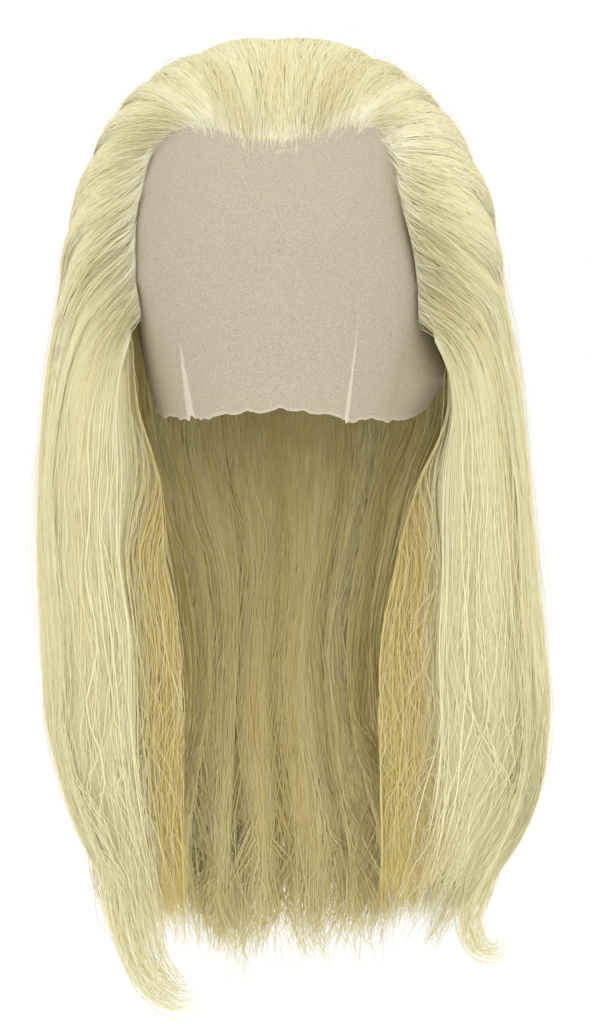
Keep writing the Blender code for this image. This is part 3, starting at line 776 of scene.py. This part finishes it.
def body_course(section, columns, front_columns):
    """Along the outer wall, round the front of a curtain if the section has one, and back inside."""
    sign = -1 if section.first == -1.0 else 1
    if section.node == "hair_back":
        outer = np.linspace(section.first - 0.004, section.last + 0.004, columns)
        front_depth = np.zeros(0)
    else:
        back = sign * (SECTION_EDGE - 0.004)
        outer = np.linspace(back, sign * FRONT_SHARE, columns)
        front_depth = np.linspace(1, FRONT_DEPTH, front_columns + 2)[1:-1]
    front = sign * (front_share(front_depth) - 0.004)
    inner = outer[::-1]
    shares = np.concatenate([outer, front, inner, outer[:1]])
    levels = np.concatenate([np.ones(columns), front_depth, np.full(columns, FRONT_DEPTH), [1.0]])
    behind = ease((FRONT_SHARE - np.abs(inner)) / 0.10)
    apart = np.concatenate([np.zeros(columns), 0 * front_depth, behind, [0.0]])
    # Painted shade over the front of a curtain and on the inner wall.
    tones = np.concatenate([
        OUTER_TONE + over_shares(STREAKS, outer),
        front_painted_shade_tone(front_depth),
        np.full(columns, INSIDE_PAINTED_SHADE),
        [OUTER_TONE],
    ])
    return Course(shares, levels, apart, tones)


def hair_mass(rng, section, columns, front_columns, rows):
    """The body of one section, ridged all along like combed hair, under its strands."""
    course = body_course(section, columns, front_columns)
    shares = course.shares
    around = len(shares)
    half = (around - 1) // 2
    uneven = [noise_rows(rng, half, spacing) for spacing in (3.0, 9.0, 2.5)]
    uneven = [np.concatenate([noise, noise[::-1], noise[:1]]) for noise in uneven]
    begin = 0.006 + 0.0025 * np.abs(uneven[0]) + 0.008 * ease((np.abs(shares) - 0.80) / 0.10)
    end = over_shares(FIELD.total - 0.034 + 0.4 * FIELD.notch, shares)
    end = end - 0.006 * ease((np.abs(shares) - 0.75) / 0.10)
    end = end + 0.004 * uneven[1] + 0.001 * uneven[2]
    runs = begin[:, None] + (end - begin)[:, None] * np.linspace(0, 1, rows)
    numbers = rows_at(shares, runs)
    wide = np.broadcast_to(shares[:, None], numbers.shape)
    near = sample(FIELD.near, wide, numbers)
    low = near + (sample(FIELD.inside, wide, numbers) - near) * course.apart[:, None, None]
    high = sample(FIELD.outside, wide, numbers)
    root = sample(FIELD.head, wide, numbers)
    close = 0.12 + 0.88 * np.clip((end[:, None] - runs) / 0.05, 0.0, 1) ** 0.6
    front_side = np.where(np.abs(shares) > FRONT_SHARE - 0.02, np.sign(shares), 0)[:, None]
    level = 0.5 + (hanging(course.levels[:, None], near[..., 2], front_side) - 0.5) * close
    thin = np.where(course.levels > 0.99, BODY_DEPTH, 0.0)[:, None, None]
    lift = (1 - np.exp(-np.maximum(runs - 0.004, 0.0003) / 0.012))[..., None]
    points = root + (low + (high - low) * level[..., None] - unit(high - low) * thin - root) * lift
    index = np.arange(around * rows).reshape(around, rows)
    quads = [np.stack([index[:-1, :-1], index[:-1, 1:], index[1:, 1:], index[1:, :-1]], -1).reshape(-1, 4)]
    for row in (0, rows - 1):
        ahead = index[:half, row]
        back = index[around - 2 : around - 2 - half : -1, row]
        rim = np.stack([ahead[:-1], ahead[1:], back[1:], back[:-1]], -1)
        quads.append(rim if row == 0 else rim[:, ::-1])
    u = np.linspace(0.002, 0.998, around)[:, None] + np.zeros((around, rows))
    v = np.linspace(0.004, 0.996, rows)[None, :] + np.zeros((around, rows))
    uv = np.stack([u, v], -1).reshape(-1, 2)
    # Painted shade: towards its ends the body turns a golden tone, so it reads as shade between the tips.
    painted_end_shade = ease((np.linspace(0, 1, rows) - 0.90) / 0.08)
    tone = (course.tones[:, None] + (0.35 - course.tones[:, None]) * painted_end_shade).ravel()
    return points.reshape(-1, 3), np.concatenate(quads), uv, tone


def lower_edge(azimuth):
    """Height of the lower edge: straight over the face, cut up behind the tabs, low at the nape."""
    stations = [math.radians(angle) for angle in (0, 60, 74, 80, 90, 104, 140, 180)]
    heights = [LACE_EDGE_Z, LACE_EDGE_Z - 0.004, -0.1655, -0.160, -0.139, EAR_EDGE_Z, -0.150, NAPE_EDGE_Z]
    return float(np.interp(abs(azimuth), stations, heights))


def beside_pleat(pleat, azimuth, z):
    """The angle between a point of the lace and the middle of a pleat, which leans."""
    low = np.clip((pleat.top_z - z) / PLEAT_LENGTH, 0, 1)
    return abs(azimuth - pleat.azimuth - pleat.lean * (1 - low))


def stand_off(azimuth, z):
    """How far a point of the lace stands off the head, at the tabs and at the pleats."""
    flare, shares = (TAB_FLARE_LEFT, TAB_SHARES_LEFT) if azimuth < 0 else (TAB_FLARE_RIGHT, TAB_SHARES_RIGHT)
    across = np.clip((abs(azimuth) - TAB_START) / (TAB_END - TAB_START), 0, 1)
    off = flare * across**TAB_POWER * float(np.interp(z, TAB_HEIGHTS, shares))
    for pleat in PLEATS:
        low = np.clip((pleat.top_z - z) / PLEAT_RUN, 0, 1)
        near = max(0.0, 1 - beside_pleat(pleat, azimuth, z) / (pleat.width / 2))
        off += pleat.height * near * low
    return off


def fold_tone(azimuth, z):
    """How much of the lace lies double, at the pleats."""
    double = 0.0
    for pleat in PLEATS:
        low = np.clip((pleat.top_z - z) / PLEAT_LENGTH, 0, 1)
        reach = pleat.width * (0.04 + 0.96 * low)
        beside = beside_pleat(pleat, azimuth, z) / (reach / 2)
        double += float(np.clip(4.0 * (1 - beside), 0, 1) * np.clip(9 * low, 0, 1))
    return double


def head_sheet(name, keep_front, rng):
    """The lace or the cap as a fine sheet on the head's surface."""
    columns, dome, skirt = 220, 34, 30
    azimuths = [math.tau * k / columns - math.pi for k in range(columns)]
    if keep_front:
        steps = np.linspace(-1, 1, 25)
        azimuths += [
            float(pleat.azimuth + pleat.lean / 2 + (0.55 * pleat.width + pleat.lean / 2) * step)
            for pleat in PLEATS
            for step in steps
        ]
    azimuths = sorted(azimuths)
    columns = len(azimuths)
    ragged = noise_rows(rng, columns, 2.0) * 0.0005 + noise_rows(rng, columns, 7.0) * 0.0006
    shell = bmesh.new()
    layer = shell.loops.layers.uv.new(UV_NAME)
    edge_tone = shell.verts.layers.float.new("edge")
    fold = shell.verts.layers.float.new("fold")
    top = shell.verts.new((0, 0, BROW_Z + HEAD_HEIGHT))
    grid = []
    for k, azimuth in enumerate(azimuths):
        cut = lower_edge(azimuth)
        if keep_front:
            cut += ragged[k] + float(np.interp(math.degrees(azimuth), CUT_ANGLES, CUT_RISES))
        column = []
        for ring in range(1, dome + skirt + 1):
            if ring <= dome:
                rise = math.pi / 2 * (1 - ring / dome)
                out = math.cos(rise)
                form = [out * math.sin(azimuth), -out * math.cos(azimuth), math.sin(rise)]
            else:
                share = min((ring - dome) / (skirt - 1), 1.0) if ring < dome + skirt else 1.0
                low = BROW_Z + (cut - BROW_Z) * share
                if ring == dome + skirt - 1:
                    low += 0.0004
                form = [math.sin(azimuth), -math.cos(azimuth), (low - BROW_Z) / DROP]
            point = place(HEAD, HEAD_HEIGHT, HEAD_SQUARENESS, np.array(form))
            double = 0.0
            if keep_front:
                out = np.array([math.sin(azimuth), -math.cos(azimuth), 0.0])
                double = fold_tone(azimuth, point[2])
                point = point + out * (stand_off(azimuth, point[2]) + 0.0005)
            vert = shell.verts.new(point)
            vert[edge_tone] = 0.4 if ring >= dome + skirt - 1 else 0.0
            vert[fold] = double
            column.append(vert)
        grid.append(column)
    for k in range(columns):
        here, there = grid[k], grid[(k + 1) % columns]
        shell.faces.new((top, here[0], there[0]))
        for a, b, c, d in zip(here, here[1:], there[1:], there):
            shell.faces.new((a, b, c, d))
    slope = (SEAM_TOP_Y - SEAM_LOW_Y) / -SEAM_LOW_Z
    normal = np.array([0.0, 1.0, -slope])
    normal /= np.linalg.norm(normal)
    bmesh.ops.bisect_plane(
        shell,
        geom=shell.verts[:] + shell.edges[:] + shell.faces[:],
        plane_co=(0.0, SEAM_TOP_Y, 0.0),
        plane_no=normal,
        clear_inner=not keep_front,
        clear_outer=keep_front,
    )
    for loop in (loop for face in shell.faces for loop in face.loops):
        x, y, z = loop.vert.co
        around = math.atan2(x, -y if keep_front else y) * MAP_RADIUS
        loop[layer].uv = (0.5 + around / MAP_WIDTH, 0.02 + (z - MAP_LOW_Z) / MAP_HEIGHT)
    bmesh.ops.recalc_face_normals(shell, faces=shell.faces)
    mesh = bpy.data.meshes.new(name)
    shell.to_mesh(mesh)
    shell.free()
    mesh.shade_smooth()
    area = sum(face.area for face in mesh.polygons)
    return mesh, area


def new_material(name):
    """A material, its node tree and its shader."""
    material = bpy.data.materials.new(name)
    material.use_nodes = True
    return material, material.node_tree, material.node_tree.nodes["Principled BSDF"]


def feed(tree, made, sockets):
    """Gives a node's inputs their values, or links them from the outputs of other nodes."""
    for key, value in sockets.items():
        if isinstance(value, bpy.types.NodeSocket):
            tree.links.new(value, made.inputs[key])
        else:
            made.inputs[key].default_value = value


def node(tree, kind, output, sockets, **settings):
    """One output of a new shader node with these settings and inputs."""
    made = tree.nodes.new(kind)
    for key, value in settings.items():
        setattr(made, key, value)
    feed(tree, made, sockets)
    return made.outputs[output]


def on_map(tree, scale):
    """The map's coordinates, plain and stretched."""
    place_on = node(tree, "ShaderNodeUVMap", "UV", {}, uv_map=UV_NAME)
    return place_on, node(tree, "ShaderNodeMapping", "Vector", {"Vector": place_on, "Scale": scale})


def attribute(tree, name):
    return node(tree, "ShaderNodeAttribute", "Fac", {}, attribute_name=name)


def mixed_colour(tree, share, first, second):
    return node(tree, "ShaderNodeMix", 2, {0: share, 6: first, 7: second}, data_type="RGBA")


def multiply_add(tree, value, factor, extra):
    sockets = {0: value, 1: factor, 2: extra}
    return node(tree, "ShaderNodeMath", "Value", sockets, operation="MULTIPLY_ADD", use_clamp=True)


def span(tree, value, from_min, from_max, to_min, to_max):
    """A value mapped from one range to another."""
    sockets = {"Value": value, "From Min": from_min, "From Max": from_max, "To Min": to_min, "To Max": to_max}
    return node(tree, "ShaderNodeMapRange", "Result", sockets, clamp=True)


def colour_ramp(tree, value, stops):
    ramp = tree.nodes.new("ShaderNodeValToRGB")
    elements = ramp.color_ramp.elements
    while len(elements) < len(stops):
        elements.new(0.5)
    for element, (position, colour) in zip(elements, stops):
        element.position = position
        element.color = (*colour, 1.0)
    feed(tree, ramp, {"Fac": value})
    return ramp.outputs["Color"]


# Colours of the hair from its deep streaks to its pale ones, outside, inside as painted shade,
# and at the roots.
OUTER_TONES = (
    (0.26, (0.76, 0.70, 0.41)),
    (0.40, (0.80, 0.75, 0.47)),
    (0.56, (0.84, 0.80, 0.53)),
    (0.74, (0.89, 0.85, 0.61)),
)
INNER_PAINTED_SHADE_TONES = (
    (0.26, (0.48, 0.345, 0.055)),
    (0.40, (0.56, 0.425, 0.075)),
    (0.56, (0.64, 0.505, 0.10)),
    (0.74, (0.73, 0.605, 0.145)),
)
ROOT_COLOUR = (0.97, 0.94, 0.78, 1.0)


def hair_material(name, streaks, relief):
    """Blonde hair: tone changes from strand to strand, and slowly along the length, and painted shade
    makes it deeper on the inner side and over a curtain's front."""
    material, tree, shader = new_material(name)
    place_on, stretch = on_map(tree, (streaks, 5.0, 1.0))
    noise = {"Vector": stretch, "Scale": 1.0, "Detail": 3.0, "Roughness": 0.6}
    tone = node(tree, "ShaderNodeTexNoise", "Fac", noise)
    outer = colour_ramp(tree, tone, OUTER_TONES)
    # Painted shade: the inner colours, mixed in by the tone kept with each point.
    inner = colour_ramp(tree, tone, INNER_PAINTED_SHADE_TONES)
    both = mixed_colour(tree, attribute(tree, TONE_NAME), outer, inner)
    length = node(tree, "ShaderNodeSeparateXYZ", "Y", {"Vector": place_on})
    near_root = span(tree, length, 0.05, 0.0, 0.0, 0.90)
    bump = {"Strength": 0.25, "Distance": relief, "Height": tone}
    feed(tree, shader, {
        "Base Color": mixed_colour(tree, near_root, both, ROOT_COLOUR),
        "Roughness": span(tree, tone, 0.0, 1.0, 0.38, 0.58),
        "Normal": node(tree, "ShaderNodeBump", "Normal", bump),
        "Specular IOR Level": 0.12,
    })
    return material


def net_material(name, colour, light, cover, cell):
    """A fine net with clear gaps, lighter and closer along its cut edge and where it lies double."""
    material, tree, shader = new_material(name)
    stretch = on_map(tree, (MAP_WIDTH, MAP_HEIGHT, 1.0))[1]
    noise = {"Vector": stretch, "Scale": 0.7 / cell, "Detail": 3.0, "Roughness": 0.65}
    grain = node(tree, "ShaderNodeTexNoise", "Fac", noise)
    stops = [(at, tuple(k * c for c in colour)) for at, k in ((0.3, 0.95), (0.7, 1.05))]
    edge, fold = attribute(tree, "edge"), attribute(tree, "fold")
    double = multiply_add(tree, fold, 0.8, edge)
    cells = {"Vector": stretch, "Scale": 1.0 / cell}
    threads = node(tree, "ShaderNodeTexVoronoi", "Distance", cells, feature="DISTANCE_TO_EDGE")
    gap = span(tree, threads, 0.08, 0.35, 1.0, cover)
    feed(tree, shader, {
        "Base Color": mixed_colour(tree, double, colour_ramp(tree, grain, stops), (*light, 1.0)),
        "Alpha": multiply_add(tree, double, 0.4, gap),
        "Roughness": 0.8,
        "Specular IOR Level": 0.25,
    })
    return material


def combed(first, last):
    """The bunches that cover one section outside: smooth strands, loose ones, fine ones and tips."""
    return (
        Bunch(first, last, 900, 28, 0.00005, 0.00056, 60, 0.35, 0.0030, 0.080, 0.08, 0, OUTER_TONE),
        Bunch(first, last, 600, 32, 0.0001, 0.00036, 50, 0.20, 0.0036, 0.060, 0.20, 0, OUTER_TONE),
        Bunch(first, last, 1100, 22, 0.0002, 0.00022, 90, 0.10, 0.0034, 0.040, 0.25, 0.16, OUTER_TONE),
        Bunch(first, last, 500, 14, 0.0004, 0.00028, 40, 0.45, 0.0070, 0.055, 0.15, -0.09, OUTER_TONE),
    )


def curtain_inside(edge, front):
    """The bunches inside one curtain, over its front, and the frizz where the front turns in."""
    low, high = sorted((edge, front))
    # The frizz where the front turns in gets the front's painted shade, 0.40 paler.
    pale, gold = OUTER_TONE, OUTER_TONE - 0.40
    over = (FRONT_DEPTH, 1, True)
    turned_in = (FRONT_DEPTH, 0.1, True)
    return (
        Bunch(low, high, 350, 22, -0.0003, 0.00046, 30, 0.35, 0.0034, 0.08, 0.15, 0, INSIDE_PAINTED_SHADE, 0, 0),
        Bunch(front, front, 650, 24, 0.00005, 0.00052, 50, 0.3, 0.0030, 0.07, 0.15, 0, pale, *over),
        Bunch(front, front, 300, 30, 0.0001, 0.00034, 50, 0.15, 0.0040, 0.05, 0.25, 0, pale, *over),
        Bunch(front, front, 1000, 22, 0.0002, 0.00022, 80, 0.1, 0.0042, 0.04, 0.3, 0.14, pale, *over),
        Bunch(front, front, 350, 14, 0.0004, 0.00028, 30, 0.4, 0.0070, 0.055, 0.15, -0.09, pale, *over),
        Bunch(front, front, 350, 26, 0.0015, 0.00020, 60, 0.0, 0.0060, 0.045, 0.2, 0.12, gold, *turned_in),
    )


BUNCHES = {
    ("hair_left", "outer"): combed(-FRONT_SHARE - 0.015, -SECTION_EDGE),
    ("hair_left", "inner"): curtain_inside(-SECTION_EDGE, -FRONT_SHARE),
    ("hair_back", "outer"): combed(-SECTION_EDGE - 0.02, SECTION_EDGE + 0.02),
    ("hair_back", "inner"): (
        # The tones of the inner hair at the back are painted shade.
        Bunch(-0.36, 0.36, 900, 24, -0.0004, 0.00046, 46, 0.35, 0.0040, 0.07, 0.2, 0, INSIDE_PAINTED_SHADE, 0, 0),
        Bunch(-0.36, 0.36, 500, 22, -0.0012, 0.00026, 46, 0.15, 0.0050, 0.05, 0.4, 0.14, 0.42, 0, 0),
        Bunch(-0.36, 0.36, 400, 14, -0.0010, 0.00028, 30, 0.45, 0.0070, 0.055, 0.15, -0.09, 0.36, 0, 0),
    ),
    ("hair_right", "outer"): combed(SECTION_EDGE, FRONT_SHARE + 0.015),
    ("hair_right", "inner"): curtain_inside(SECTION_EDGE, FRONT_SHARE),
}


def build():
    rng = np.random.default_rng(20)
    body_look = hair_material("blonde_hair_body", 300.0, 0.0003)
    strand_look = hair_material("blonde_hair_strands", SHADES * 4.0, 0.00003)
    for section in SECTIONS:
        body = hair_mass(rng, section, 120, 44, 32)
        mass = piece(section.node + "_body", fast_mesh(section.node + "_body", *body), body_look)
        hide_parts(section.node)
        for kind in ("outer", "inner"):
            parts = [bunch_strands(rng, bunch) for bunch in BUNCHES[section.node, kind]]
            if kind == "outer":
                parts += [curl_strands(rng, curl, 18) for curl in CURLS if curl.section == section.node]
            name = section.node + "_" + kind
            piece(name, fast_mesh(name, *joined(parts)), strand_look)
    piece("hairline", fast_mesh("hairline", *root_hairs(rng, 6000, 6)), strand_look)
    piece("flyaways", fast_mesh("flyaways", *flying_hairs(rng, 1500, 11)), strand_look)

    lace_look = net_material("lace_net", (0.50, 0.44, 0.33), (0.68, 0.61, 0.48), 0.45, 0.0005)
    cap_look = net_material("cap_net", (0.60, 0.50, 0.36), (0.62, 0.53, 0.40), 0.92, 0.0012)
    lace_mesh, lace_area = head_sheet("lace", True, rng)
    lace = piece("lace", lace_mesh, lace_look)
    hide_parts("lace_front")
    cap_mesh, cap_area = head_sheet("cap", False, rng)
    cap = piece("cap", cap_mesh, cap_look)
    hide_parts("wig_cap")


def studio():
    """A pale floor below the wig, soft light all round and the camera."""
    scene = bpy.context.scene
    scene.view_settings.view_transform = "Standard"
    floor_mesh = bpy.data.meshes.new("floor")
    size, low = 30.0, -0.62
    floor_mesh.from_pydata(
        [(-size, -size, low), (size, -size, low), (size, size, low), (-size, size, low)], [], [(0, 1, 2, 3)]
    )
    floor = bpy.data.objects.new("floor", floor_mesh)
    scene.collection.objects.link(floor)
    material, tree, shader = new_material("floor")
    feed(tree, shader, {"Base Color": (0.97, 0.97, 0.97, 1), "Roughness": 0.9})
    floor_mesh.materials.append(material)
    world = bpy.data.worlds.new("studio")
    scene.world = world
    world.use_nodes = True
    feed(world.node_tree, world.node_tree.nodes["Background"], {"Color": (1, 1, 1, 1), "Strength": 1.03})
    lights = (
        ("key", (-0.6, -2.3, 0.2), 1.6, 3.6),
        ("fill", (0.7, -2.3, 0.1), 1.6, 3.6),
        ("top", (0.0, -0.5, 1.6), 1.6, 8),
    )
    aim = np.array([0.0, 0.0, -0.2])
    for name, where, size, power in lights:
        light = bpy.data.lights.new(name, "AREA")
        light.shape = "DISK"
        light.size = size
        light.energy = power
        obj = bpy.data.objects.new(name, light)
        scene.collection.objects.link(obj)
        obj.location = where
        back = unit(np.array(where) - aim)
        obj.rotation_euler = (math.acos(back[2]), 0, math.atan2(back[0], -back[1]))
    camera = bpy.data.cameras.new("camera")
    camera.lens = 129
    camera.sensor_width = 36
    camera.clip_end = 50
    eye = bpy.data.objects.new("camera", camera)
    scene.collection.objects.link(eye)
    eye.location = (0.0078, -1.793, -0.057)
    eye.rotation_euler = (math.radians(85), 0, 0)
    scene.camera = eye


studio()
build()
